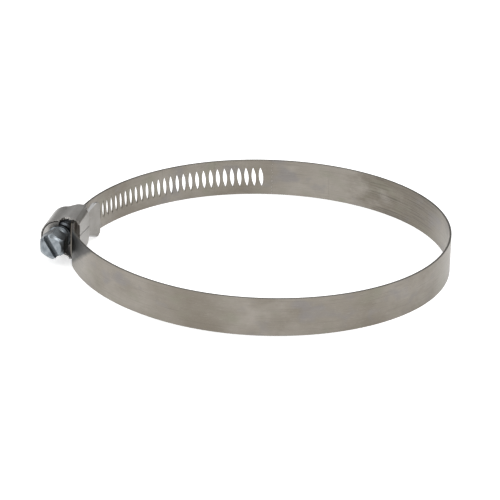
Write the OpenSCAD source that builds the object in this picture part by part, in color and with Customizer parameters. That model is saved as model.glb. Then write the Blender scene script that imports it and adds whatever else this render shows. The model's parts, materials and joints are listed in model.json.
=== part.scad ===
// Worm-drive hose clamp, stainless steel, half-inch band.
//
// The ring lies flat: its axis is Z and the origin is the centre of the clamped circle, halfway
// up the band. The screw axis is parallel to Y, on the +X side, with the head toward +Y.
// The band starts over the saddle, runs anticlockwise round the ring and comes back into the
// housing over its own fixed end. It is cut crosswise into rigid lengths, band_anchor, band_01 to
// band_16 and band_tail, so that its closing can be stated as turns about lines parallel to Z.

/* [Ring] */
// Inside diameter of the ring as drawn, the widest setting
clamp_d = 120; // [96:1:150]
// Band width
band_w = 12.7; // [11:0.1:16]
// Band thickness
band_t = 0.64; // [0.5:0.01:0.7]

/* [Slots] */
// Distance between slots along the band, which is also the lead of the worm
pitch = 2.54; // [2.2:0.01:3]
// Length of a slot across the band
slot_l = 6.9; // [5:0.1:7.5]
// Width of a slot at its middle
slot_w = 1.45; // [1.35:0.01:1.6]
// Length of the slotted stretch that lies on the round of the ring
slotted_ring = 38.1; // [25:0.1:60]

/* [Housing] */
// Length of the housing along the screw
housing_l = 12.8; // [11:0.1:17]
// How far the housing sits ahead of the ring's X axis
housing_y = 6.5; // [5.5:0.1:7]
// Sheet thickness of the housing cap and sides
shell_t = 0.8; // [0.6:0.05:1]
// Sheet thickness of the tabs folded under the band
tab_t = 0.7; // [0.5:0.05:0.8]
// Sheet thickness of the saddle
saddle_t = 0.6; // [0.45:0.05:0.7]
// How far the saddle's tongue reaches out behind the housing
tongue_l = 7; // [4:0.1:8]

/* [Screw] */
// Radius of the worm's thread crest
worm_r = 4.6; // [4.3:0.05:5]
// Depth of the thread
thread_h = 0.75; // [0.65:0.05:0.85]
// Hex head size across flats
hex_af = 7.94; // [7:0.01:9]
// Length of the hex
hex_l = 6.4; // [5:0.1:9]
// Turn of the head about its axis, at which the screwdriver slot stands as drawn
head_turn = 31; // [0:1:59]

/* [Clearances] */
// Gap between layers that lie on one another
layer_gap = 0.05; // [0.03:0.01:0.1]
// Gap between the screw's neck and the lips that hold it
bearing_gap = 0.06; // [0.02:0.01:0.1]
// Gap between the worm's core and the face of the band
core_gap = 0.26; // [0.2:0.01:0.35]
// Gap between one length of the band and the next
joint_gap = 0.03; // [0.02:0.005:0.06]

/* [Hidden] */
$fn = 96;

// Layers under the screw, from the hose outward, as X positions
ring_r = clamp_d / 2;
mid_r = ring_r + band_t / 2;
saddle_x = ring_r + tab_t + layer_gap;
fixed_x = saddle_x + saddle_t + layer_gap;
// The slotted run bows over the flat fixed end, so the gap grows with the square of the length
run_gap = layer_gap + housing_l * housing_l / 400;
run_x = fixed_x + band_t + run_gap;
run_mid = run_x + band_t / 2;
screw_x = run_x + band_t + core_gap + worm_r - thread_h;

// Housing ends and the lips that hold the screw endways
front_y = housing_y + housing_l / 2;
back_y = housing_y - housing_l / 2;
lip_t = 0.8;
cap_ri = worm_r + 0.7;
cap_ro = cap_ri + shell_t;
inner_hw = band_w / 2 + 0.1;
outer_hw = inner_hw + shell_t;
shoulder_x = run_x + band_t + 0.9;
neck_r = worm_r - thread_h - 0.1;
lip_r = neck_r + bearing_gap;
worm_y0 = back_y + lip_t + 0.1;
worm_y1 = front_y - lip_t - 0.1;

// Bend where the fixed end leaves the housing, then the easy curve that joins the ring
bend_r = 20;
bend_y = front_y + 0.3;
bend_cx = fixed_x + band_t / 2 - bend_r;
slots_each = round(20 * PI / 180 * mid_r / pitch);
piece_l = slots_each * pitch;
ring_pieces = 13;
ease_pieces = 3;
ring_a = piece_l / mid_r * 180 / PI;

// Curve that carries the slotted end out over the fixed end
lift = run_mid - mid_r;
lift_q = (lift * lift + housing_y * housing_y) / (2 * lift);
lift_r = mid_r + lift_q;
lift_a = asin(housing_y / lift_q);
ring_a0 = 360 - lift_a - ring_pieces * ring_a;
join_dot = bend_cx * cos(ring_a0) + bend_y * sin(ring_a0);
join_k = mid_r - bend_r;
join_q = (bend_cx * bend_cx + bend_y * bend_y - join_k * join_k) / (2 * (join_k - join_dot));
ease_r = mid_r + join_q;
bend_a = atan2(join_q * sin(ring_a0) + bend_y, join_q * cos(ring_a0) + bend_cx);
ease_a = (ring_a0 - bend_a) / ease_pieces;
run_s = lift_r * lift_a * PI / 180;
tail_out = 2.5;
tail_l = run_s + housing_l / 2 + tail_out;
tail_a = tail_l / lift_r * 180 / PI;
ring_end = 360 - lift_a;

// Slots stand midway between piece ends, so a whole number of them fits each piece
slot_r = (slot_l * slot_l / 4 + slot_w * slot_w / 4) / slot_w;
slot_lean = atan(pitch / (2 * PI * (worm_r - thread_h / 2)));
slots_before = floor(slotted_ring / pitch) - slots_each;
slot_phase = pitch * (0.5 - (run_s / pitch - floor(run_s / pitch)));

// Part of a round strip of middle radius r, from angle a0 over angle a
module strip(cx, cy, r, a0, a) {
    translate([cx, cy, 0])
        rotate([0, 0, a0])
            rotate_extrude(angle = a)
                translate([r - band_t / 2, -band_w / 2])
                    square([band_t, band_w]);
}

// One length of band, which stops short of the length before it
module band_length(cx, cy, r, a0, a) {
    gap_a = joint_gap / r * 180 / PI;
    strip(cx, cy, r, a0 + gap_a, a - gap_a);
}

// Leaning lens-shaped cutter for one slot, through the strip of middle radius r at angle a
module slot_cut(cx, cy, r, a) {
    translate([cx, cy, 0])
        rotate([0, 0, a])
            translate([r, 0, 0])
                rotate([-slot_lean, 0, 0])
                    rotate([0, 90, 0])
                        linear_extrude(height = 4 * band_t, center = true)
                            intersection() {
                                translate([0, slot_r - slot_w / 2])
                                    circle(slot_r);
                                translate([0, slot_w / 2 - slot_r])
                                    circle(slot_r);
                            }
}

// A length of band with slots, counted from its start
module slotted_length(cx, cy, r, a0, a, first, last) {
    difference() {
        band_length(cx, cy, r, a0, a);
        for (k = [first:last])
            slot_cut(cx, cy, r, a0 + (k + 0.5) * pitch / r * 180 / PI);
    }
}

// Plain pieces on the easy curve beside the housing
module ease_piece(i) {
    color([0.62, 0.60, 0.57])
        band_length(bend_cx - (ease_r - bend_r) * cos(bend_a), bend_y - (ease_r - bend_r) * sin(bend_a),
                    ease_r, bend_a + i * ease_a, ease_a);
}

// Plain pieces on the round of the ring
module ring_piece(i) {
    color([0.62, 0.60, 0.57])
        band_length(0, 0, mid_r, ring_a0 + i * ring_a, ring_a);
}

// Slotted pieces on the round of the ring
module slotted_ring_piece(i, first) {
    color([0.62, 0.60, 0.57])
        slotted_length(0, 0, mid_r, ring_a0 + i * ring_a, ring_a, first, slots_each - 1);
}

// Slotted end, on the curve that carries it out over the fixed end. The slots stop short of its tip
module band_tail() {
    tip_r = 1.3 * band_w;
    last_slot = floor((tail_l - 1.5) / pitch - 0.5);
    color([0.62, 0.60, 0.57])
        difference() {
            slotted_length(run_mid - lift_r, housing_y, lift_r, ring_end, tail_a, 0, last_slot);
            translate([run_mid - lift_r, housing_y, 0])
                rotate([0, 0, ring_end + tail_a])
                    translate([lift_r, -tip_r, 0])
                        rotate([0, 90, 0])
                            linear_extrude(height = 4, center = true)
                                difference() {
                                    translate([-band_w, 0])
                                        square([2 * band_w, 2 * tip_r]);
                                    circle(tip_r);
                                }
        }
}

// Fixed end: a flat stretch under the screw with a window for the saddle's lug, then the bend
module band_anchor() {
    flat_y0 = back_y + 1.2;
    color([0.62, 0.60, 0.57]) {
        difference() {
            union() {
                translate([fixed_x, flat_y0, -band_w / 2])
                    cube([band_t, bend_y - flat_y0, band_w]);
                strip(bend_cx, bend_y, bend_r, 0, bend_a);
            }
            translate([fixed_x - 1, housing_y - 2.05, -3.05])
                cube([band_t + 2, 4.1, 6.1]);
        }
    }
}

// Sheet outline of the housing in the plane across the screw, x from the ring axis and y along Z
module housing_outline() {
    translate([screw_x, 0])
        circle(cap_ro);
    polygon([
        [screw_x, cap_ro],
        [shoulder_x, outer_hw],
        [ring_r + 1, outer_hw],
        [ring_r + 1, -outer_hw],
        [shoulder_x, -outer_hw],
        [screw_x, -cap_ro]
    ]);
    translate([ring_r, 1 - outer_hw])
        square([2, 2 * outer_hw - 2]);
    for (s = [-1, 1])
        translate([ring_r + 1, s * (outer_hw - 1)])
            circle(1);
}

// Space inside the sheet: the worm's round, the shoulders and the band's channel
module housing_hollow() {
    translate([screw_x, 0])
        circle(cap_ri);
    polygon([
        [screw_x, cap_ri],
        [shoulder_x - 0.25, inner_hw],
        [ring_r + tab_t, inner_hw],
        [ring_r + tab_t, -inner_hw],
        [shoulder_x - 0.25, -inner_hw],
        [screw_x, -cap_ri]
    ]);
}

// Half ring that closes part of the cap's end round the screw
module lip(y0, hole_r) {
    translate([screw_x, y0, 0])
        rotate([-90, 0, 0])
            linear_extrude(height = lip_t)
                difference() {
                    circle(cap_ri + 0.1);
                    circle(hole_r);
                    translate([-20, -10])
                        square([20, 20]);
                }
}

// One bent sheet: cap over the screw, shoulders, sides and two tabs that meet on a slanting seam
module housing() {
    tab_cut = 3;
    seam_w = 0.16;
    seam_back = -0.3;
    seam_front = 1.5;
    relief_r = 1.5;
    color([0.64, 0.63, 0.61])
        union() {
            difference() {
                translate([0, housing_y, 0])
                    rotate([90, 0, 0])
                        linear_extrude(height = housing_l, center = true)
                            difference() {
                                housing_outline();
                                housing_hollow();
                            }
                // seam between the tabs
                translate([ring_r - 1, 0, 0])
                    rotate([90, 0, 90])
                        linear_extrude(height = tab_t + 1.2)
                            polygon([
                                [back_y - 1, seam_back - seam_w / 2],
                                [front_y + 1, seam_front - seam_w / 2],
                                [front_y + 1, seam_front + seam_w / 2],
                                [back_y - 1, seam_back + seam_w / 2]
                            ]);
                // slanting back corners of the tabs
                for (s = [-1, 1])
                    translate([ring_r - 1, back_y, s * outer_hw])
                        rotate([90, 0, 90])
                            linear_extrude(height = tab_t + 1.2)
                                polygon([[-1, s], [tab_cut, s], [tab_cut, 0], [0, -s * 4.2], [-1, -s * 4.2]]);
                // relief notches in the front of the shoulders
                for (s = [-1, 1])
                    translate([(screw_x + shoulder_x) / 2 - 0.4, front_y, s * (cap_ro + 0.9)])
                        cylinder(r = relief_r, h = 2.4 * shell_t + 1, center = true);
            }
            lip(front_y - lip_t, lip_r);
            lip(back_y, lip_r);
        }
}

// Saddle between the tabs and the fixed end, with a lug into its window and a tongue behind
module saddle() {
    tongue_r = tongue_l * tongue_l / (2 * (tab_t + 0.35));
    tongue_a = asin(tongue_l / tongue_r);
    ear_h = 0.4;
    color([0.60, 0.59, 0.56])
        union() {
            translate([saddle_x, back_y, -band_w / 2 + 0.05])
                cube([saddle_t, housing_l - 0.1, band_w - 0.1]);
            translate([saddle_x + saddle_t - 0.1, housing_y - 2, -3])
                cube([band_t * 0.9 + 0.1, 4, 6]);
            intersection() {
                translate([saddle_x - tongue_r, back_y, -band_w / 2])
                    rotate([0, 0, -tongue_a])
                        rotate_extrude(angle = tongue_a + 0.4)
                            translate([tongue_r, 0])
                                square([saddle_t, band_w]);
                tongue_plan(ring_r - 4, 8);
            }
            // ears turned outward along the tongue's slanting edges
            for (s = [-1, 1])
                mirror([0, 0, s < 0 ? 1 : 0])
                    intersection() {
                        translate([saddle_x - tongue_r, back_y, -band_w / 2])
                            rotate([0, 0, -tongue_a])
                                rotate_extrude(angle = tongue_a)
                                    translate([tongue_r, 0])
                                        square([saddle_t + ear_h, band_w]);
                        ear_plan(ring_r - 4, 8);
                    }
        }
}

// Plan of the tongue, in Y and Z, as a block along X
module tongue_plan(x0, h) {
    translate([x0, 0, 0])
        rotate([90, 0, 90])
            linear_extrude(height = h)
                polygon([
                    [back_y + 0.5, 4.2],
                    [back_y - tongue_l * 0.72, band_w / 2 - 0.15],
                    [back_y - tongue_l * 0.86, band_w / 2 - 0.15],
                    [back_y - tongue_l, band_w / 2 - 1.3],
                    [back_y - tongue_l, 1.3 - band_w / 2],
                    [back_y - tongue_l * 0.86, 0.15 - band_w / 2],
                    [back_y - tongue_l * 0.72, 0.15 - band_w / 2],
                    [back_y + 0.5, -4.2]
                ]);
}

// Plan of one ear: a strip inside the upper slanting edge
module ear_plan(x0, h) {
    translate([x0, 0, 0])
        rotate([90, 0, 90])
            linear_extrude(height = h)
                polygon([
                    [back_y - 0.5, 4.35],
                    [back_y - tongue_l * 0.72, band_w / 2 - 0.15],
                    [back_y - 0.9, 3.5]
                ]);
}

// Helical thread as rings of four points: root, crest, crest, root
module thread() {
    steps = 30;
    root_r = worm_r - thread_h - 0.15;
    root_hw = 0.56;
    crest_hw = 0.2;
    len_y = worm_y1 - worm_y0 - 2 * root_hw - 0.1;
    rings = floor(len_y / pitch * steps);
    y_first = worm_y0 + root_hw + 0.05;
    y_slot = housing_y + slot_phase;
    turn_0 = (y_first - y_slot) / pitch * 360;
    profile = [[root_r, -root_hw], [worm_r, -crest_hw], [worm_r, crest_hw], [root_r, root_hw]];
    points = [
        for (i = [0:rings])
            for (p = profile)
                let (a = turn_0 + i * 360 / steps)
                    [-p[0] * cos(a), y_first + i * pitch / steps + p[1], p[0] * sin(a)]
    ];
    sides = [
        for (i = [0:rings - 1])
            for (j = [0:3])
                let (a = 4 * i + j, b = 4 * i + (j + 1) % 4)
                    each [[a, b, b + 4], [a, b + 4, a + 4]]
    ];
    last = 4 * rings;
    polyhedron(
        points = points,
        faces = concat([[3, 2, 1], [3, 1, 0]], sides, [[last, last + 1, last + 2], [last, last + 2, last + 3]])
    );
}

// Round of the screw from y0 over length l, from radius r0 to r1
module turned(y0, l, r0, r1) {
    translate([0, y0, 0])
        rotate([-90, 0, 0])
            cylinder(r1 = r0, r2 = r1, h = l);
}

// Screw: worm between the lips, neck, collar and a slotted hex head with chamfered corners
module worm_screw() {
    collar_y = front_y + 0.15;
    collar_t = 2.7;
    collar_r = worm_r - thread_h + 0.1;
    hex_y = collar_y + collar_t;
    face_y = hex_y + hex_l;
    corner_r = hex_af / 2 / cos(30);
    driver_w = 1.8;
    driver_d = 2;
    color([0.58, 0.60, 0.63])
        translate([screw_x, 0, 0]) {
            difference() {
                union() {
                    turned(worm_y0, worm_y1 - worm_y0, worm_r - thread_h, worm_r - thread_h);
                    turned(back_y - 0.4, worm_y0 - back_y + 0.5, neck_r, neck_r);
                    turned(worm_y1 - 0.1, collar_y - worm_y1 + 0.2, neck_r, neck_r);
                    turned(collar_y, collar_t, collar_r, collar_r);
                    intersection() {
                        translate([0, hex_y - 0.1, 0])
                            rotate([-90, 0, 0])
                                rotate([0, 0, head_turn])
                                    cylinder(r = corner_r, h = hex_l + 0.1, $fn = 6);
                        turned(hex_y - 0.2, hex_l + 0.2, corner_r + hex_l * 0.9, hex_af / 2 - 0.45);
                        turned(hex_y - 0.1, 10, hex_af / 2, hex_af / 2 + 10);
                    }
                }
                translate([0, face_y, 0])
                    rotate([0, head_turn, 0])
                        cube([driver_w, 2 * driver_d, 3 * hex_af], center = true);
            }
            thread();
        }
}

housing();
saddle();
worm_screw();
band_anchor();
ease_piece(0);  // band_01
ease_piece(1);  // band_02
ease_piece(2);  // band_03
ring_piece(0);  // band_04
ring_piece(1);  // band_05
ring_piece(2);  // band_06
ring_piece(3);  // band_07
ring_piece(4);  // band_08
ring_piece(5);  // band_09
ring_piece(6);  // band_10
ring_piece(7);  // band_11
ring_piece(8);  // band_12
ring_piece(9);  // band_13
ring_piece(10);  // band_14
slotted_ring_piece(11, slots_each - slots_before);  // band_15
slotted_ring_piece(12, 0);  // band_16
band_tail();
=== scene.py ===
import json
from math import asin, atan2, cos, floor, pi, radians, sin, sqrt, tan

import bmesh
import bpy
from mathutils import Matrix, Vector


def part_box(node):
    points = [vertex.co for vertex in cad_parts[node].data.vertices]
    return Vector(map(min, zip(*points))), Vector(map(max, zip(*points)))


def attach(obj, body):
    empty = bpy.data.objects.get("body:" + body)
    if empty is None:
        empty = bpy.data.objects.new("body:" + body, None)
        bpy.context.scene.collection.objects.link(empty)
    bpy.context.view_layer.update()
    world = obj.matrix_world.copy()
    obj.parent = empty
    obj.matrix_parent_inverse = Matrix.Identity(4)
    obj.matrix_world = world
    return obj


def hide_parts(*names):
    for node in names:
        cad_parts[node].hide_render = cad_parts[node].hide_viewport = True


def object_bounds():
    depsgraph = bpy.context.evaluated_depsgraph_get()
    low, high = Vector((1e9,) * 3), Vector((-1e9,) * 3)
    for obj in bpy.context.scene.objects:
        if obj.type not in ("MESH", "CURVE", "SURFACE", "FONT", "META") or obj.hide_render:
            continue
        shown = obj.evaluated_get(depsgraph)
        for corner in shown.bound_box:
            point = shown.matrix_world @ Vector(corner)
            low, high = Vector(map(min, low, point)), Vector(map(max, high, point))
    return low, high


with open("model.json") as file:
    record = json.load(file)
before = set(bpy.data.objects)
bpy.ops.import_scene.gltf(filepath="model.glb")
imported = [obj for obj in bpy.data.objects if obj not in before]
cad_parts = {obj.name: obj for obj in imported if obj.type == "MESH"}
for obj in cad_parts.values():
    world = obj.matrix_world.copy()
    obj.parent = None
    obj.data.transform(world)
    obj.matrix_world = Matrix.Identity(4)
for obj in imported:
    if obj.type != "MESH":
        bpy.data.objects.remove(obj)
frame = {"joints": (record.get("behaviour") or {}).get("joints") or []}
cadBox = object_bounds()
mm = 0.001

# sizes that several pieces share, in metres
band = dict(innerRadius=60 * mm, width=12.7 * mm, thick=0.64 * mm, edge=0.1 * mm, step=0.64 * mm,
            meet=0.003 * mm, lean=0.012 * mm)
slots = dict(pitch=2.54 * mm, length=6.9 * mm, width=1.45 * mm, lean=radians(5.5))
layers = dict(tab=0.7 * mm, saddle=0.6 * mm, gap=0.05 * mm)
shell = dict(length=12.8 * mm, middle=6.5 * mm, sheet=0.7 * mm, halfWidth=7.25 * mm)
joints = {j["name"]: j for j in frame["joints"]}
screwX = joints["screw_spin"]["pos_m"][0]
feedX, feedY = joints["band_feed"]["pos_m"][:2]
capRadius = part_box("housing")[1].x - screwX

midRadius = band["innerRadius"] + band["thick"] / 2
saddleX = band["innerRadius"] + layers["tab"] + layers["gap"]
fixedMid = saddleX + layers["saddle"] + layers["gap"] + band["thick"] / 2
frontY = shell["middle"] + shell["length"] / 2
backY = shell["middle"] - shell["length"] / 2

# the slotted end slides on a round of its own, which leaves the ring at liftAngle before the screw
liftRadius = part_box("band_tail")[1].x - band["thick"] / 2 - feedX
liftAngle = asin(feedY / (liftRadius - midRadius))


class Wire:
    # one value or colour in a material, which arithmetic can be done on
    def __init__(self, finish, socket):
        self.finish, self.socket = finish, socket

    def calc(self, operation, a, b=0.0):    # adds one Math node
        return self.finish.node("ShaderNodeMath", dict(operation=operation), {0: a, 1: b})

    def __add__(self, other):
        return self.calc("ADD", self, other)

    def __radd__(self, other):
        return self.calc("ADD", other, self)

    def __sub__(self, other):
        return self.calc("SUBTRACT", self, other)

    def __rsub__(self, other):
        return self.calc("SUBTRACT", other, self)

    def __mul__(self, other):
        return self.calc("MULTIPLY", self, other)

    def __rmul__(self, other):
        return self.calc("MULTIPLY", other, self)

    def __gt__(self, other):
        return self.calc("GREATER_THAN", self, other)

    def __lt__(self, other):
        return self.calc("LESS_THAN", self, other)

    def __abs__(self):
        return self.calc("ABSOLUTE", self)

    def __pow__(self, other):
        return self.calc("POWER", self, other)


class Finish:
    # a material under construction
    def __init__(self, name, **fixed):
        self.material = bpy.data.materials.new(name)
        self.material.use_nodes = True
        self.tree = self.material.node_tree
        self.tree.nodes.clear()
        self.output = self.tree.nodes.new("ShaderNodeOutputMaterial")
        self.shader = self.tree.nodes.new("ShaderNodeBsdfPrincipled")
        self.tree.links.new(self.shader.outputs[0], self.output.inputs[0])
        for socket, value in fixed.items():
            self.shader.inputs[socket.replace("_", " ")].default_value = value

    def node(self, kind, settings=None, inputs=None, out=0):
        made = self.tree.nodes.new(kind)
        for name, value in (settings or {}).items():
            if name == "stops":
                ramp = made.color_ramp.elements
                while len(ramp) < len(value):
                    ramp.new(1.0)
                for stop, (place, colour) in zip(ramp, value):
                    stop.position, stop.color = place, (*colour, 1.0)
            else:
                setattr(made, name, value)
        for name, value in (inputs or {}).items():
            if isinstance(value, Wire):
                self.tree.links.new(value.socket, made.inputs[name])
            else:
                made.inputs[name].default_value = value
        return Wire(self, made.outputs[out])

    def axes(self, vector):
        return [self.node("ShaderNodeSeparateXYZ", {}, {0: vector}, out=k) for k in range(3)]

    def stretched(self, source, scale, offset=(0, 0, 0)):
        return self.node("ShaderNodeMapping", {}, {"Vector": source, "Scale": scale, "Location": offset})

    def noise(self, vector, scale=1.0, detail=3.0, roughness=0.5):
        return self.node("ShaderNodeTexNoise", {}, {"Vector": vector, "Scale": scale, "Detail": detail,
                                                    "Roughness": roughness})

    def spread(self, value, low, high, toLow=0.0, toHigh=1.0):
        return self.node("ShaderNodeMapRange", dict(clamp=True),
                         {0: value, 1: low, 2: high, 3: toLow, 4: toHigh})

    def mixed(self, factor, a, b):
        return self.node("ShaderNodeMix", dict(data_type="RGBA"), {0: factor, 6: a, 7: b}, out=2)

    def feed(self, **wires):
        for socket, wire in wires.items():
            self.tree.links.new(wire.socket, self.shader.inputs[socket.replace("_", " ")])

    def bump(self, height, strength, distance):
        made = self.node("ShaderNodeBump", {}, {"Height": height, "Strength": strength, "Distance": distance})
        self.feed(Normal=made)


def grey(level, warmth=0.0):
    return (level * (1 + warmth), level, level * (1 - 1.4 * warmth), 1.0)


def bandSteel():
    # cold-rolled strip: cloudy satin, with fine rolling lines that run along its length
    look = dict(light=grey(0.255, 0.08), dark=grey(0.16, 0.12), line=grey(0.1, 0.09), bright=grey(0.42, 0.05),
                cool=(0.194, 0.184, 0.184, 1), green=(0.2, 0.201, 0.155, 1), rim=grey(0.11, 0.06),
                oily=grey(0.03))
    # painted reflections: darker and lighter stretches along the strip, in cm: middle, reach of any change,
    # reach of full change
    reflectedStretches = dict(dulled=(24.2, 2.4, 0.9), rubbed=(26.4, 1.8, 0.4), smearedNear=(9.6, 2.0, 0.6),
                   smearedFar=(14.8, 2.8, 1.2))
    f = Finish("bandSteel", Metallic=1.0)
    flat = f.node("ShaderNodeUVMap", dict(uv_map="strip"))
    along, z = f.axes(flat)[:2]
    clouds = f.noise(f.stretched(flat, (0.55, 0.9, 1)), 1.0, 4.0, 0.62)
    bands = f.noise(f.stretched(flat, (0.4, 0.03, 1), (7.3, 0, 0)), 1.0, 1.0)
    lines = f.noise(f.stretched(flat, (0.5, 26, 1)), 1.0, 4.0, 0.7)
    fine = f.noise(f.stretched(flat, (2.2, 95, 1)), 1.0, 2.0)
    specks = f.noise(f.stretched(flat, (14, 30, 1)), 1.0, 2.0, 0.8)
    stains = f.noise(f.stretched(flat, (0.8, 1.1, 1), (3.1, 8.4, 0)), 1.0, 3.0, 0.55)
    wander = along + (clouds - 0.5) * 5.0    # so that the ends of those stretches aren't straight

    def paintedStretch(name):
        middle, outer, inner = reflectedStretches[name]
        return f.spread(abs(wander - middle), outer, inner)

    # darker and lighter stretches at fixed places along the strip: painted dark reflection and painted sheen
    dulled, rubbed = paintedStretch("dulled"), paintedStretch("rubbed")
    paintedDim = paintedStretch("smearedNear") + paintedStretch("smearedFar")
    tone = f.spread(clouds * 0.6 + bands * 0.4 - dulled * 0.16 - paintedDim * 0.06 + rubbed * 0.1, 0.37, 0.62)
    colour = f.mixed(tone, look["dark"], look["light"])
    colour = f.mixed(f.spread(stains, 0.54, 0.66, 0.0, 0.4), colour, look["green"])
    colour = f.mixed(f.spread(stains, 0.45, 0.34, 0.0, 0.6), colour, look["cool"])
    streak = f.spread(lines, 0.56, 0.72, 0.0, 0.4) + dulled * f.spread(lines, 0.46, 0.6, 0.0, 0.6)
    colour = f.mixed(streak, colour, look["line"])
    shine = f.spread(fine * 0.6 + specks * 0.4, 0.55, 0.7, 0.0, 0.3)
    colour = f.mixed(shine, colour, look["bright"])
    # painted reflection of the housing and screw: a dark patch on the outside, where the strip comes out
    # under the screw
    place, facing = (f.node("ShaderNodeTexCoord", {}, {}, out=k) for k in (3, 1))
    outwards = f.node("ShaderNodeVectorMath", dict(operation="DOT_PRODUCT"), {0: place, 1: facing}, out=1)
    reflectionPatch = f.spread(along - z * 1.7 + (stains - 0.5) * 0.6, 2.95, 2.7)
    colour = f.mixed(reflectionPatch * (outwards > 0.0) * 0.85, colour, look["oily"])
    rim = f.spread(abs(z), 0.618, 0.63)    # the strip's cut edges
    # the cut edges are painted darker: painted shade
    colour = f.mixed(rim * 0.8, colour, look["rim"])
    f.feed(Base_Color=colour, Roughness=0.3 + lines * 0.16 + (clouds - 0.5) * 0.2 + rim * 0.12)
    f.bump(lines * 0.7 + fine * 0.3, 0.22, 0.03 * mm)
    return f.material


def pressedSteel():
    # pressed sheet of the housing and saddle: satin, rubbed along the screw, a little scuffed
    look = dict(light=grey(0.36, 0.03), dark=grey(0.235, 0.04), scuff=grey(0.46, 0.02),
                plate=grey(0.16, 0.07), rubbed=grey(0.4), grime=grey(0.02))
    f = Finish("pressedSteel", Metallic=1.0)
    place = f.node("ShaderNodeTexCoord", {}, {}, out=3)
    clouds = f.noise(f.stretched(place, (180, 120, 180)), 1.0, 4.0, 0.6)
    rub = f.noise(f.stretched(place, (2600, 160, 2600)), 1.0, 3.0, 0.6)
    scuffs = f.noise(f.stretched(place, (700, 260, 900)), 1.0, 5.0, 0.75)
    colour = f.mixed(f.spread(clouds, 0.34, 0.66), look["dark"], look["light"])
    colour = f.mixed(f.spread(scuffs, 0.57, 0.7, 0.0, 0.5), colour, look["scuff"])
    # the saddle and tabs are darker and warmer; a painted highlight on the bent-up ears of the tongue, and a
    # painted shadow line in the gap at its root
    x, y, z = f.axes(place)
    colour = f.mixed((x < saddleX + layers["saddle"] + 0.1 * mm) * 0.5, colour, look["plate"])
    slope = (saddle["flare"] - saddle["neck"]) / (saddle["flareFrom"] * saddle["tongue"])
    beside = abs(z) > (backY - 0.5 * mm - y) * slope + (saddle["neck"] - 0.32 * mm)
    ear = beside * (y < backY - 0.45 * mm) * (y > backY - 0.75 * saddle["tongue"])
    root = (y < backY - 0.02 * mm) * (y > backY - 0.4 * mm)
    # painted highlight on the ears, and painted shadow in the gap at the tongue's root
    colour = f.mixed(ear * 0.85, colour, look["rubbed"])
    colour = f.mixed(root * 0.85, colour, look["grime"])
    f.feed(Base_Color=colour, Roughness=0.27 + rub * 0.16 + (clouds - 0.5) * 0.12)
    f.bump(rub * 0.6 + scuffs * 0.4, 0.2, 0.03 * mm)
    return f.material


def platedSteel():
    # bluish zinc plating over a turned screw, with painted shade in the driver slot and inside the housing,
    # and rougher in the slot
    look = dict(light=(0.31, 0.34, 0.36, 1), dark=(0.14, 0.158, 0.175, 1), deep=(0.085, 0.09, 0.1, 1),
                bright=(0.5, 0.535, 0.56, 1))
    f = Finish("platedSteel", Metallic=1.0)
    place = f.node("ShaderNodeTexCoord", {}, {}, out=3)
    local = f.stretched(place, (1, 1, 1), (-screwX, 0, 0))
    x, y, z = f.axes(local)
    radius = (x * x + z * z) ** 0.5
    turning = f.noise(f.node("ShaderNodeCombineXYZ", {}, {0: radius * 5200, 1: y * 2600, 2: 0.0}), 1.0, 2.0)
    patches = f.noise(f.stretched(place, (420, 420, 420)), 1.0, 4.0, 0.65)
    colour = f.mixed(f.spread(patches, 0.33, 0.66), look["dark"], look["light"])
    colour = f.mixed(f.spread(turning, 0.55, 0.75, 0.0, 0.4), colour, look["bright"])
    across = abs(x * cos(head["turn"]) - z * sin(head["turn"]))
    sunk = (y < headFace - 0.25 * mm) * (y > headFace - head["slotDepth"] - 0.1 * mm)
    inSlot = (across < head["slotWidth"] / 2 + 0.02 * mm) * sunk
    inside = f.spread(y, frontY - 0.3 * mm, frontY - 1.1 * mm)
    # painted shade in the driver slot and inside the housing
    colour = f.mixed(inSlot * 0.3, colour, look["deep"])
    colour = f.mixed(inside * 0.7, colour, look["deep"])
    f.feed(Base_Color=colour, Roughness=0.25 + patches * 0.14 + inSlot * 0.25)
    f.bump(turning * 0.5 + patches * 0.5, 0.25, 0.03 * mm)
    return f.material


def shown(bm, name, material, node=None, rides=None):
    # turns a finished bmesh into an object; with rides given it is a piece, which moves with that body
    mesh = bpy.data.meshes.new(name)
    bm.normal_update()
    bm.to_mesh(mesh)
    bm.free()
    made = bpy.data.objects.new(name, mesh)
    bpy.context.scene.collection.objects.link(made)
    if material:
        mesh.materials.append(material)
    for face in mesh.polygons:
        face.use_smooth = True
    if rides:
        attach(made, rides)
        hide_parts(node)
    return made


def evenShading(made):
    # large faces decide the shading, so small bends between flat ones don't show
    weighted = made.modifiers.new("even", "WEIGHTED_NORMAL")
    weighted.mode = "FACE_AREA"
    weighted.weight = 80
    weighted.keep_sharp = True


def cutAndSoftened(made, cutters, width, joined=()):
    # cuts and joins with other shapes, rounds the sharp edges and keeps the result as plain mesh
    for tool in (*joined, *cutters):
        change = made.modifiers.new("cut", "BOOLEAN")
        change.operation = "UNION" if tool in joined else "DIFFERENCE"
        change.solver = "EXACT"
        change.object = tool
    soft = made.modifiers.new("soft", "BEVEL")
    soft.width = width
    soft.segments = 2
    soft.limit_method = "ANGLE"
    soft.angle_limit = radians(34)
    bpy.context.view_layer.update()
    graph = bpy.context.evaluated_depsgraph_get()
    done = bpy.data.meshes.new_from_object(made.evaluated_get(graph))
    made.modifiers.clear()
    made.data = done
    for tool in (*joined, *cutters):
        bpy.data.objects.remove(tool)
    for face in done.polygons:
        face.use_smooth = True
    evenShading(made)


def at(a, b):
    # true if two places along the strip are the same
    return abs(a - b) < 0.001 * mm


def vertsIn(geom):
    return [v for v in geom if isinstance(v, bmesh.types.BMVert)]


def edgesOf(verts):
    # each edge once, in an order that is the same every run
    return list(dict.fromkeys(e for v in verts for e in v.link_edges))


def placed(verts, where):
    # puts each vertex where the given rule sends its present place
    for v in verts:
        v.co = where(v.co)


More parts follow.
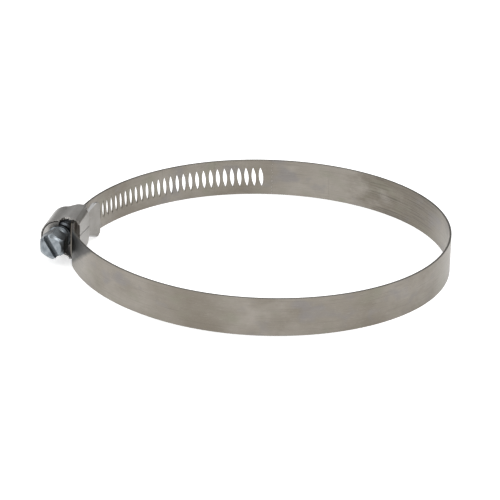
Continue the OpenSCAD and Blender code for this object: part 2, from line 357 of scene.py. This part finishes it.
def cutAcross(bm, place, facing):
    # adds edges where a plane crosses the mesh
    whole = [*bm.verts, *bm.edges, *bm.faces]
    bmesh.ops.bisect_plane(bm, geom=whole, dist=1e-7, plane_co=place, plane_no=facing)


def drawnOut(bm, faces, way):
    # extrudes faces and moves the new ones
    grown = bmesh.ops.extrude_face_region(bm, geom=faces)["geom"]
    bmesh.ops.translate(bm, vec=way, verts=vertsIn(grown))


def cleaned(bm):
    # joins the ends of a spun shape and turns its faces outwards
    bmesh.ops.remove_doubles(bm, verts=bm.verts, dist=1e-7)
    bmesh.ops.recalc_face_normals(bm, faces=bm.faces)


def prism(outline, depth):
    # block with the given outline, run along depth
    bm = bmesh.new()
    face = bm.faces.new([bm.verts.new(p) for p in outline])
    drawnOut(bm, [face], depth)
    bmesh.ops.recalc_face_normals(bm, faces=bm.faces)
    return bm


def plainStrip(bm, start, end):
    # flat strip without slots: length along X, width along Y
    count = max(1, round((end - start) / band["step"]))
    bmesh.ops.create_grid(bm, x_segments=count, y_segments=6, size=0.5)
    bmesh.ops.scale(bm, vec=(end - start, band["width"], 1), verts=bm.verts)
    bmesh.ops.translate(bm, vec=((start + end) / 2, 0, 0), verts=bm.verts)


def slottedCell(bm, middle):
    # flat cell one pitch long round a lens-shaped slot
    bow = (slots["length"] ** 2 + slots["width"] ** 2) / (4 * slots["width"])
    corner = 5 / 6    # how far round each side the cell's corners stand
    lens = bmesh.ops.create_circle(bm, segments=24, radius=1)["verts"]
    rim = vertsIn(bmesh.ops.extrude_edge_only(bm, edges=edgesOf(lens))["geom"])

    def share(co):
        side = 0 if abs(co.x) < 1e-4 else (1 if co.x > 0 else -1)
        return side, asin(max(-1, min(1, co.y))) / (pi / 2)

    def lensPlace(co):
        side, part = share(co)
        y = slots["length"] / 2 * part
        x = side * (sqrt(bow * bow - y * y) - bow + slots["width"] / 2)
        return Vector((middle + x + y * tan(slots["lean"]), y, 0))

    def rimPlace(co):
        side, part = share(co)
        y = band["width"] / 2 * max(-1, min(1, part / corner))
        return Vector((middle + side * slots["pitch"] / 2, y, 0))

    placed(rim, rimPlace)
    placed(lens, lensPlace)


def carriedOn(bm, present, wanted):
    # carries the strip's end on from present to wanted, in short steps
    count = max(1, round(abs(wanted - present) / band["step"]))
    for k in range(count):
        row = [v for v in bm.verts if at(v.co.x, present)]
        ends = [e for e in edgesOf(row) if e.is_boundary and all(v in row for v in e.verts)]
        following = present + (wanted - present) / (count - k)
        for v in vertsIn(bmesh.ops.extrude_edge_only(bm, edges=ends)["geom"]):
            v.co.x = following
        present = following


def slottedStrip(bm, start, end, cells):
    # flat strip with a slot in each of the numbered cells, plain before and after them
    for k in cells:
        slottedCell(bm, start + (k + 0.5) * slots["pitch"])
    bmesh.ops.remove_doubles(bm, verts=bm.verts, dist=0.001 * mm)
    first = start + cells[0] * slots["pitch"]
    last = start + (cells[-1] + 1) * slots["pitch"]
    if not at(first, start):
        carriedOn(bm, first, start)
    if not at(last, end):
        carriedOn(bm, last, end)


def cutWindow(bm, window):
    # opening for the saddle's lug
    start, end, half = window
    for x in (start, end):
        cutAcross(bm, (x, 0, 0), (1, 0, 0))
    for y in (-half, half):
        cutAcross(bm, (0, y, 0), (0, 1, 0))
    middles = {f: f.calc_center_median() for f in bm.faces}
    opening = [f for f, m in middles.items() if start < m.x < end and abs(m.y) < half]
    bmesh.ops.delete(bm, geom=opening, context="FACES")


def softenRims(bm, joined):
    # rounds every edge but those where this length meets the next, which stay crisp
    def meets(a, b):
        return any(at(a.x, s) and at(b.x, s) for s in joined)

    def isRim(e):
        a, b = (v.co for v in e.verts)
        return abs(a.z - b.z) < 1e-7 and not meets(a, b) and e.calc_face_angle(0) > 0.5

    bmesh.ops.bevel(bm, geom=[e for e in bm.edges if isRim(e)], offset=band["edge"], offset_type="OFFSET",
                    segments=2, profile=0.5, affect="EDGES", material=-1, clamp_overlap=True)
    bm.normal_update()
    for face in bm.faces:
        middle = face.calc_center_median()
        if meets(middle, middle) and abs(face.normal.x) > 0.99:
            for e in face.edges:
                e.smooth = False


def bandLength(name, node, rides, path, start, end, before, cells=(), tip=0.0, window=None, freeStart=False):
    # one length of the band: laid out flat, given its thickness and worn edges, then bent on its path
    bm = bmesh.new()
    if cells:
        slottedStrip(bm, start, end, cells)
    else:
        plainStrip(bm, start, end)
    if tip:
        for v in bm.verts:
            if at(v.co.x, end):
                v.co.x -= tip - sqrt(tip * tip - v.co.y ** 2)
    if window:
        cutWindow(bm, window)
    bmesh.ops.translate(bm, vec=(0, 0, -band["thick"] / 2), verts=bm.verts)
    drawnOut(bm, bm.faces[:], (0, 0, band["thick"]))
    bmesh.ops.recalc_face_normals(bm, faces=bm.faces)
    joined = [end] if freeStart else ([start] if tip else [start, end])
    softenRims(bm, joined)
    layer = bm.loops.layers.uv.new("strip")    # laid out in centimetres of the whole flat strip
    for face in bm.faces:
        for loop in face.loops:
            loop[layer].uv = ((before + loop.vert.co.x - start) * 100, loop.vert.co.y * 100)
    # ends that meet another length lean back on the inside, which leaves room when the ring draws in
    for v in bm.verts:
        if any(at(v.co.x, s) for s in joined):
            inset = band["meet"] + band["lean"] * (0.5 - v.co.z / band["thick"])
            v.co.x += inset if at(v.co.x, start) else -inset
    placed(bm.verts, path)
    evenShading(shown(bm, name, steel["band"], node, rides))


def roundPath(x, y, radius, angle):
    # bends a flat strip, length along X, onto a round whose start stands at angle
    def path(co):
        a = angle + co.x / radius
        return Vector((x + (radius + co.z) * cos(a), y + (radius + co.z) * sin(a), co.y))
    return path


def makeBand():
    form = dict(bendRadius=20 * mm, bendBefore=0.3 * mm, flatAfter=1.2 * mm, windowLength=4.1 * mm,
                windowWidth=6.1 * mm, onCurve=3, onRing=13, cells=8, pastHousing=2.5 * mm, solidTip=1.5 * mm,
                tipRadius=16.5 * mm)
    slotted = {form["onCurve"] + 11: range(1, 8), form["onCurve"] + 12: range(8)}
    ringLength = form["cells"] * slots["pitch"]
    bendY, flatY = frontY + form["bendBefore"], backY + form["flatAfter"]
    bendX = fixedMid - form["bendRadius"]
    ringEnd = 2 * pi - liftAngle
    ringStart = ringEnd - form["onRing"] * ringLength / midRadius
    # easy curve between the bend at the housing and the round of the ring
    dot = bendX * cos(ringStart) + bendY * sin(ringStart)
    reach = midRadius - form["bendRadius"]
    easeExtra = (bendX ** 2 + bendY ** 2 - reach ** 2) / (2 * (reach - dot))
    easeRadius = midRadius + easeExtra
    easeFrom = atan2(easeExtra * sin(ringStart) + bendY, easeExtra * cos(ringStart) + bendX)
    easeX = bendX - (easeRadius - form["bendRadius"]) * cos(easeFrom)
    easeY = bendY - (easeRadius - form["bendRadius"]) * sin(easeFrom)
    flat = bendY - flatY
    bend = roundPath(bendX, bendY, form["bendRadius"], 0)

    def anchorPath(co):
        if co.x <= flat:
            return Vector((fixedMid + co.z, flatY + co.x, co.y))
        return bend(Vector((co.x - flat, co.y, co.z)))

    anchorLength = flat + form["bendRadius"] * easeFrom
    middle, half = shell["middle"] - flatY, form["windowLength"] / 2
    bandLength("bandAnchor", "band_anchor", "clamp_frame", anchorPath, 0, anchorLength, 0, freeStart=True,
               window=(middle - half, middle + half, form["windowWidth"] / 2))
    before = anchorLength
    easeLength = easeRadius * (ringStart - easeFrom) / form["onCurve"]
    for i in range(form["onCurve"] + form["onRing"]):
        number = f"{i + 1:02d}"
        onCurve = i < form["onCurve"]
        if onCurve:
            path, length, start = roundPath(easeX, easeY, easeRadius, easeFrom), easeLength, i * easeLength
        else:
            path, length = roundPath(0, 0, midRadius, ringStart), ringLength
            start = (i - form["onCurve"]) * ringLength
        bandLength("bandLength" + number, "band_" + number, f"band_{number}_length", path, start,
                   start + length, before, cells=slotted.get(i, ()))
        before += length
    tailLength = liftRadius * liftAngle + shell["length"] / 2 + form["pastHousing"]
    count = floor((tailLength - form["solidTip"]) / slots["pitch"] - 0.5) + 1
    bandLength("bandTail", "band_tail", "slotted_end", roundPath(feedX, feedY, liftRadius, ringEnd), 0,
               tailLength, before, cells=range(count), tip=form["tipRadius"])
    print("band done,", round(before + tailLength, 4), "m of strip")


def housingShell(form):
    # the sheet's outline across the screw, its corners rounded, drawn along the screw
    radius, halfWidth, foot = capRadius, shell["halfWidth"], band["innerRadius"]
    bm = bmesh.new()
    arc = [Vector((screwX + radius * cos(a), backY, radius * sin(a)))
           for a in (radians(-90 + 180 * k / 40) for k in range(41))]
    corners = [Vector((x, backY, z)) for x, z in ((form["shoulderX"], halfWidth), (foot, halfWidth),
                                                  (foot, -halfWidth), (form["shoulderX"], -halfWidth))]
    ring = [bm.verts.new(p) for p in arc + corners]
    bm.faces.new(ring)
    rounds = ((form["shoulderCut"], (41, 44)), (form["foldCut"], (42, 43)), (form["creaseCut"], (0, 40)))
    for size, which in rounds:
        bmesh.ops.bevel(bm, geom=[ring[k] for k in which], offset=size, offset_type="OFFSET", segments=8,
                        profile=0.5, affect="VERTICES", material=-1)
    bmesh.ops.delete(bm, geom=bm.faces[:], context="FACES_ONLY")
    row = bm.edges[:]
    for k in range(8):
        grown = bmesh.ops.extrude_edge_only(bm, edges=row)["geom"]
        row = [e for e in grown if isinstance(e, bmesh.types.BMEdge)]
        bmesh.ops.translate(bm, vec=(0, shell["length"] / 8, 0), verts=vertsIn(grown))
    bmesh.ops.recalc_face_normals(bm, faces=bm.faces)
    outermost = next(f for f in bm.faces if f.calc_center_median().x > screwX + 0.9 * radius)
    if outermost.normal.x < 0:
        bmesh.ops.reverse_faces(bm, faces=bm.faces)
    made = shown(bm, "housingShell", steel["sheet"], "housing", "clamp_frame")
    wall = made.modifiers.new("wall", "SOLIDIFY")
    wall.thickness = shell["sheet"]
    wall.offset = -1
    wall.use_even_offset = True
    return made


def housingCutters(form):
    # slanting seam where the tabs meet, the tabs' cut corners and the relief notches at the front
    low, past = band["innerRadius"] - mm, mm
    half = form["seamWidth"] / 2
    seam = [(low, backY - past, form["seamBack"] - half), (low, frontY + past, form["seamFront"] - half),
            (low, frontY + past, form["seamFront"] + half), (low, backY - past, form["seamBack"] + half)]
    cutters = [shown(prism(seam, (2.2 * mm, 0, 0)), "seamCut", None)]
    for s in (-1, 1):
        edge, inner = s * shell["halfWidth"], s * (shell["halfWidth"] - form["cornerTo"])
        corner = [(low, backY - past, edge + s * past), (low, backY + form["cornerCut"], edge + s * past),
                  (low, backY + form["cornerCut"], edge), (low, backY, inner), (low, backY - past, inner)]
        cutters.append(shown(prism(corner, (2 * mm, 0, 0)), "cornerCut", None))
        notch = bmesh.new()
        bmesh.ops.create_cone(notch, cap_ends=True, segments=40, radius1=form["reliefRadius"],
                              radius2=form["reliefRadius"], depth=form["reliefDepth"])
        notchX = (screwX + form["shoulderX"]) / 2 - 0.3 * mm
        bmesh.ops.translate(notch, vec=(notchX, frontY, s * (capRadius + 0.4 * mm)), verts=notch.verts)
        cutters.append(shown(notch, "reliefCut", None))
    return cutters


def housingLip(form, y):
    # half-round flange at one end of the cap, which the worm turns against
    inner, outer, thick = form["lipRadius"], capRadius - shell["sheet"] / 2, form["lip"]
    bm = bmesh.new()
    points = [(screwX + r, y + t, 0) for r, t in ((inner, 0), (outer, 0), (outer, thick), (inner, thick))]
    face = bm.faces.new([bm.verts.new(p) for p in points])
    bmesh.ops.rotate(bm, verts=bm.verts, cent=(screwX, 0, 0), matrix=Matrix.Rotation(pi / 2, 3, "Y"))
    bmesh.ops.spin(bm, geom=[face, *face.edges, *face.verts], cent=(screwX, 0, 0), axis=(0, 1, 0),
                   angle=-pi, steps=40, use_duplicate=False)
    cleaned(bm)
    return shown(bm, "lip", None)


def makeHousing():
    form = dict(shoulderX=64.04 * mm, shoulderCut=0.585 * mm, foldCut=2.07 * mm, creaseCut=0.336 * mm,
                seamWidth=0.2 * mm, seamBack=-0.3 * mm, seamFront=1.5 * mm, cornerCut=3 * mm,
                cornerTo=4.2 * mm, reliefRadius=1.6 * mm, reliefDepth=5.4 * mm, lip=0.8 * mm,
                lipRadius=3.82 * mm, edge=0.1 * mm)
    made = housingShell(form)
    cutters = housingCutters(form)
    lips = [housingLip(form, y) for y in (backY, frontY - form["lip"])]
    cutAndSoftened(made, cutters, form["edge"], joined=lips)
    print("housing done")


# saddle: sizes, and shares of the tongue's length between which it is widest
saddle = dict(tongue=7 * mm, drop=2.7 * mm, neck=4.2 * mm, flare=6.2 * mm, flareFrom=0.72, flareTo=0.88,
              cut=1.3 * mm, lugLength=4 * mm, lugWidth=6 * mm, lugHeight=0.58 * mm, earHeight=0.75 * mm,
              earThick=0.45 * mm, earDrop=0.45 * mm, edge=0.08 * mm)


def saddlePlan():
    # flat outline of the plate with its necked tongue, as a face to draw out
    tongueEnd, half = backY - saddle["tongue"], band["width"] / 2 - 0.05 * mm
    flareFrom, flareTo = (backY - saddle[k] * saddle["tongue"] for k in ("flareFrom", "flareTo"))
    side = [(frontY - 0.05 * mm, half), (backY + 0.1 * mm, half), (backY + 0.1 * mm, saddle["neck"]),
            (backY - 0.3 * mm, saddle["neck"]), (flareFrom, saddle["flare"]), (flareTo, saddle["flare"]),
            (tongueEnd, saddle["flare"] - saddle["cut"])]
    outline = side + [(y, -z) for y, z in reversed(side)]
    bm = bmesh.new()
    bm.faces.new([bm.verts.new((0, y, z)) for y, z in outline])
    for k in range(1, 12):
        cutAcross(bm, (0, tongueEnd + k * saddle["tongue"] / 12, 0), (0, 1, 0))
    for s in (-1, 1):
        cutAcross(bm, (0, shell["middle"] + s * saddle["lugLength"] / 2, 0), (0, 1, 0))
        cutAcross(bm, (0, 0, s * saddle["lugWidth"] / 2), (0, 0, 1))
    bmesh.ops.recalc_face_normals(bm, faces=bm.faces)
    return bm


def saddleEar(side):
    # stands up from the slanting edge of the tongue, lower near the housing
    low, near = layers["saddle"] - 0.1 * mm, backY - 0.5 * mm
    far = backY - saddle["flareFrom"] * saddle["tongue"]
    outer, thick = saddle["neck"] + 0.15 * mm, saddle["earThick"]
    foot = [(low, near, side * outer), (low, far, side * saddle["flare"]),
            (low, far, side * (saddle["flare"] - thick)), (low, near, side * (outer - thick))]
    ear = prism(foot, (saddle["earHeight"], 0, 0))
    for v in ear.verts:
        if v.co.x > layers["saddle"] and at(v.co.y, near):
            v.co.x -= saddle["earDrop"]
    return ear


def makeSaddle():
    bm = saddlePlan()
    drawnOut(bm, bm.faces[:], (layers["saddle"], 0, 0))
    bmesh.ops.recalc_face_normals(bm, faces=bm.faces)

    def onLug(face):
        middle = face.calc_center_median()
        return (face.normal.x > 0.9 and abs(middle.y - shell["middle"]) < saddle["lugLength"] / 2
                and abs(middle.z) < saddle["lugWidth"] / 2)

    top = [f for f in bm.faces if onLug(f)]
    drawnOut(bm, top, (saddle["lugHeight"], 0, 0))
    bmesh.ops.delete(bm, geom=top, context="FACES")
    for side in (-1, 1):
        ear, kept = saddleEar(side), bpy.data.meshes.new("ear")
        ear.to_mesh(kept)
        ear.free()
        bm.from_mesh(kept)
        bpy.data.meshes.remove(kept)
    bmesh.ops.recalc_face_normals(bm, faces=bm.faces)

    def bowed(co):
        run = max(0.0, backY - co.y) / saddle["tongue"]
        return Vector((saddleX + co.x - saddle["drop"] * run ** 1.6, co.y, co.z))

    placed(bm.verts, bowed)
    made = shown(bm, "saddlePlate", steel["sheet"], "saddle", "clamp_frame")
    cutAndSoftened(made, (), saddle["edge"])
    print("saddle done")


# screw head: hexagon with a driver slot
head = dict(flats=7.94 * mm, length=6.4 * mm, turn=radians(31), slotWidth=1.8 * mm, slotDepth=2 * mm)
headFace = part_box("worm_screw")[1].y
hexY = headFace - head["length"]


def spun(profile, steps=72):
    # turned shape about the screw's axis from (radius, place along the axis) points
    bm = bmesh.new()
    verts = [bm.verts.new((screwX + r, y, 0)) for r, y in profile]
    line = [bm.edges.new(pair) for pair in zip(verts, verts[1:])]
    bmesh.ops.spin(bm, geom=verts + line, cent=(screwX, 0, 0), axis=(0, 1, 0), angle=2 * pi, steps=steps,
                   use_merge=True, use_duplicate=False)
    cleaned(bm)
    return bm


def screwBody(form):
    # core, groove behind the worm, ridged neck and the stub that holds the head
    groove, crest = form["neck"] - 0.35 * mm, form["collar"] - 0.02 * mm
    ridges = []
    for k in range(form["ridges"]):
        y = frontY + 0.12 * mm + k * form["ridgeEvery"]
        ridges += [(groove, y), (crest, y + 0.22 * mm), (crest, y + 0.36 * mm), (groove, y + 0.56 * mm)]
    tip, stub = backY - 0.4 * mm, hexY + 0.3 * mm
    return spun([(0, tip), (form["neck"] - 0.4 * mm, tip), (form["neck"], backY - 0.05 * mm),
                 (form["neck"], form["wormFrom"]), (form["core"], form["wormFrom"] + 0.05 * mm),
                 (form["core"], form["wormTo"] - 0.05 * mm), (groove, form["wormTo"]), *ridges,
                 (form["neck"] - 0.2 * mm, stub), (0, stub)])


def screwThread(form):
    # one wedge-shaped section wound along the worm, so that the slots stand between its turns
    run = liftRadius * liftAngle / slots["pitch"]
    slotY = feedY + slots["pitch"] * (form["phase"] - (run - floor(run)))
    firstY = form["wormFrom"] + form["rootHalf"] + 0.05 * mm
    turns = (form["wormTo"] - form["wormFrom"] - 2 * form["rootHalf"] - 0.1 * mm) / slots["pitch"]
    turn = (firstY - slotY) / slots["pitch"] * 2 * pi
    root = form["core"] - 0.15 * mm
    section = [(root, -form["rootHalf"]), (form["crest"], -form["crestHalf"]),
               (form["crest"], form["crestHalf"]), (root, form["rootHalf"])]
    bm = bmesh.new()
    verts = [bm.verts.new((screwX - r * cos(turn), firstY + y, r * sin(turn))) for r, y in section]
    face = bm.faces.new(verts)
    steps = round(turns * form["steps"])
    bmesh.ops.spin(bm, geom=[face, *face.edges, *verts], cent=(screwX, 0, 0), axis=(0, 1, 0),
                   dvec=(0, turns * slots["pitch"] / steps, 0), angle=turns * 2 * pi, steps=steps,
                   use_duplicate=False)
    cleaned(bm)
    return bm


def screwHead():
    # hexagon, trimmed where it stands outside a turned shape with chamfered ends
    flat, corner = head["flats"] / 2, head["flats"] / 2 / cos(pi / 6)
    bm = bmesh.new()
    bmesh.ops.create_circle(bm, cap_ends=True, segments=6, radius=corner)
    bmesh.ops.rotate(bm, verts=bm.verts, matrix=Matrix.Rotation(pi / 2 + head["turn"], 3, "Z"))
    bmesh.ops.rotate(bm, verts=bm.verts, matrix=Matrix.Rotation(-pi / 2, 3, "X"))
    bmesh.ops.translate(bm, vec=(screwX, hexY, 0), verts=bm.verts)
    drawnOut(bm, bm.faces[:], (0, head["length"], 0))
    bmesh.ops.recalc_face_normals(bm, faces=bm.faces)
    made = shown(bm, "wormScrew", steel["screw"], "worm_screw", "screw")
    behind, wide = flat - 0.1 * mm, corner + 0.1 * mm
    rounded = shown(spun([(0, hexY - mm), (behind, hexY - mm), (behind, hexY), (wide, hexY + 0.6 * mm),
                          (wide, headFace - 1.25 * mm), (flat + 0.05 * mm, headFace - 0.75 * mm),
                          (flat - 0.45 * mm, headFace - 0.22 * mm), (flat - 0.7 * mm, headFace),
                          (0, headFace)], 96), "headRound", None)
    trim = made.modifiers.new("trim", "BOOLEAN")
    trim.operation = "INTERSECT"
    trim.solver = "EXACT"
    trim.object = rounded
    return made, rounded


def driverCut():
    bm = bmesh.new()
    bmesh.ops.create_cube(bm, size=1)
    bmesh.ops.scale(bm, vec=(head["slotWidth"], 2 * head["slotDepth"], 4 * head["flats"]), verts=bm.verts)
    bmesh.ops.rotate(bm, verts=bm.verts, matrix=Matrix.Rotation(head["turn"], 3, "Y"))
    bmesh.ops.translate(bm, vec=(screwX, headFace, 0), verts=bm.verts)
    return bm


def makeScrew():
    form = dict(core=3.85 * mm, crest=4.6 * mm, neck=3.75 * mm, collar=3.95 * mm, rootHalf=0.56 * mm,
                crestHalf=0.2 * mm, steps=48, phase=0.5, ridges=3, ridgeEvery=0.62 * mm,
                wormFrom=backY + 0.9 * mm, wormTo=frontY - 0.9 * mm, edge=0.12 * mm)
    made, rounded = screwHead()
    joined = [shown(screwBody(form), "screwBody", None), shown(screwThread(form), "screwThread", None)]
    cutAndSoftened(made, [shown(driverCut(), "driverCut", None)], form["edge"], joined=joined)
    bpy.data.objects.remove(rounded)
    print("screw done")


# lamps: place, side of the square and power
lamps = dict(key=((-0.5, 0.75, 1.0), 0.8, 6.5), side=((0.9, 0.5, 0.7), 0.6, 3.5),
             top=((0.1, -0.2, 1.3), 0.9, 3.0))


def makeStage():
    # pale floor, white surroundings and large soft lamps
    form = dict(size=8.0, pale=(0.93, 0.93, 0.925, 1), grey=(0.91, 0.91, 0.91, 1), glow=0.55, world=0.56)
    bm = bmesh.new()
    bmesh.ops.create_grid(bm, x_segments=8, y_segments=8, size=form["size"] / 2)
    bmesh.ops.translate(bm, vec=(0, 0, cadBox[0].z - 0.02 * mm), verts=bm.verts)
    paper = Finish("paleFloor", Roughness=0.9, Emission_Color=(1, 1, 1, 1), Emission_Strength=form["glow"])
    place = paper.node("ShaderNodeTexCoord", {}, {}, out=3)
    paper.feed(Base_Color=paper.mixed(paper.noise(place, 30.0, 2.0), form["pale"], form["grey"]))
    shown(bm, "floor", paper.material)
    world = bpy.data.worlds.new("studio")
    world.use_nodes = True
    sky = world.node_tree.nodes["Background"]
    sky.inputs[0].default_value = (1, 1, 1, 1)
    sky.inputs[1].default_value = form["world"]
    bpy.context.scene.world = world
    for name, (spot, size, power) in lamps.items():
        lamp = bpy.data.lights.new(name, "AREA")
        lamp.shape = "SQUARE"
        lamp.size, lamp.energy = size, power
        made = bpy.data.objects.new(name, lamp)
        made.location = spot
        made.rotation_euler = (-Vector(spot)).to_track_quat("-Z", "Y").to_euler()
        bpy.context.scene.collection.objects.link(made)
    bpy.context.scene.view_settings.view_transform = "Standard"
    print("floor and", len(lamps), "lamps done")


def makeCamera():
    # place in metres, direction of view and a small roll
    shot = dict(place=Vector((-162.32, 871.82, 365.52)) * mm, forward=Vector((0.1745, -0.9069, -0.3835)),
                up=Vector((0.0725, -0.3766, 0.9235)), roll=radians(1.5), lens=209.66)
    camera = bpy.data.cameras.new("camera")
    camera.lens, camera.sensor_width = shot["lens"], 36
    camera.clip_start, camera.clip_end = 0.05, 50
    made = bpy.data.objects.new("camera", camera)
    bpy.context.scene.collection.objects.link(made)
    forward = shot["forward"].normalized()
    right = forward.cross(shot["up"]).normalized()
    up = right.cross(forward)
    turn = Matrix((right, up, -forward)).transposed() @ Matrix.Rotation(shot["roll"], 3, "Z")
    made.matrix_world = Matrix.Translation(shot["place"]) @ turn.to_4x4()
    bpy.context.scene.camera = made
    print("camera done")


steel = dict(band=bandSteel(), sheet=pressedSteel(), screw=platedSteel())
print("steels done")
makeBand()
makeHousing()
makeSaddle()
makeScrew()
makeStage()
makeCamera()
